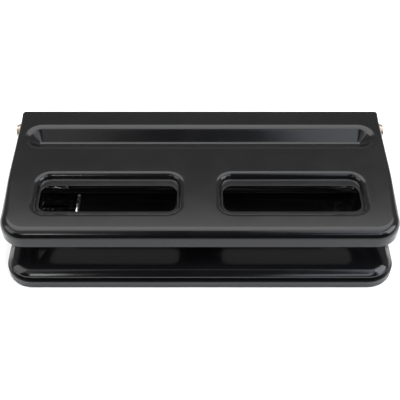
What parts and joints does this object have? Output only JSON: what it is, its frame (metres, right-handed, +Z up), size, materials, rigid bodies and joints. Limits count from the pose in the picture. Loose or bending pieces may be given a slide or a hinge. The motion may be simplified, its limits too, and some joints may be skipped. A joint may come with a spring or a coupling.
{
  "type": "hole punch",
  "caption": "Desktop three-hole paper punch with a full-width sheet-steel lever over a pressed base, spring-loaded pins and a lift-off chip tray.",
  "frame": {"origin": "on the table, under the middle of the whole punch", "axes": "+Z up from the table, -Y towards the front edge that the paper enters, +X along the width to the right"},
  "size_m": [0.2892, 0.142, 0.045],
  "materials": {
    "enamel": "satin black baked enamel",
    "tray_plastic": "satin black moulded plastic",
    "rubber": "matte dark grey rubber",
    "zinc": "bright zinc plate on bent steel",
    "nickel": "nickel plate with a slightly warm tint",
    "black_steel": "thin satin black paint on bent steel",
    "tool_steel": "ground hardened steel",
    "spring_steel": "drawn steel wire"
  },
  "bodies": {
    "chip_tray": {"chip_tray": "tray_plastic", "rubber_feet": "rubber"},
    "frame": {"base_plate": "enamel", "left_hinge_bracket": "black_steel", "right_hinge_bracket": "black_steel", "bracket_rivets": "zinc", "axle": "tool_steel", "left_axle_cap": "nickel", "right_axle_cap": "nickel", "throat_plate": "black_steel", "left_punch_head": "zinc", "centre_punch_head": "zinc", "right_punch_head": "zinc", "head_rivets": "zinc", "left_die": "tool_steel", "centre_die": "tool_steel", "right_die": "tool_steel", "left_spring": "spring_steel", "centre_spring": "spring_steel", "right_spring": "spring_steel"},
    "lever": {"lever": "enamel", "pressure_bar": "black_steel"},
    "left_pin": {"left_punch_pin": "tool_steel", "left_spring_clip": "spring_steel"},
    "centre_pin": {"centre_punch_pin": "tool_steel", "centre_spring_clip": "spring_steel"},
    "right_pin": {"right_punch_pin": "tool_steel", "right_spring_clip": "spring_steel"},
    "paper_guide": {"paper_guide": "zinc", "guide_shoe": "tray_plastic"}
  },
  "joints": [
    {"name": "tray_release", "type": "slide", "parent": "chip_tray", "child": "frame", "axis": [0, 0, 1], "range_m": [0, 0.03]},
    {"name": "lever_hinge", "type": "hinge", "parent": "frame", "child": "lever", "pos_m": [0, 0.054, 0.036], "axis": [1, 0, 0], "range_deg": [0, 8], "stiffness_Nm_per_rad": 5, "springref_deg": -17.19},
    {"name": "left_punch", "type": "slide", "parent": "frame", "child": "left_pin", "axis": [0, 0, -1], "range_m": [0, 0.0056], "deforming": ["left_spring"]},
    {"name": "centre_punch", "type": "slide", "parent": "frame", "child": "centre_pin", "axis": [0, 0, -1], "range_m": [0, 0.0056], "deforming": ["centre_spring"]},
    {"name": "right_punch", "type": "slide", "parent": "frame", "child": "right_pin", "axis": [0, 0, -1], "range_m": [0, 0.0056], "deforming": ["right_spring"]},
    {"name": "guide_slide", "type": "slide", "parent": "frame", "child": "paper_guide", "axis": [-1, 0, 0], "range_m": [0, 0.026]}
  ],
  "couplings": [
    {"joint": "left_punch", "follows": "lever_hinge", "m_per_rad": 0.04},
    {"joint": "centre_punch", "follows": "lever_hinge", "m_per_rad": 0.04},
    {"joint": "right_punch", "follows": "lever_hinge", "m_per_rad": 0.04}
  ]
}
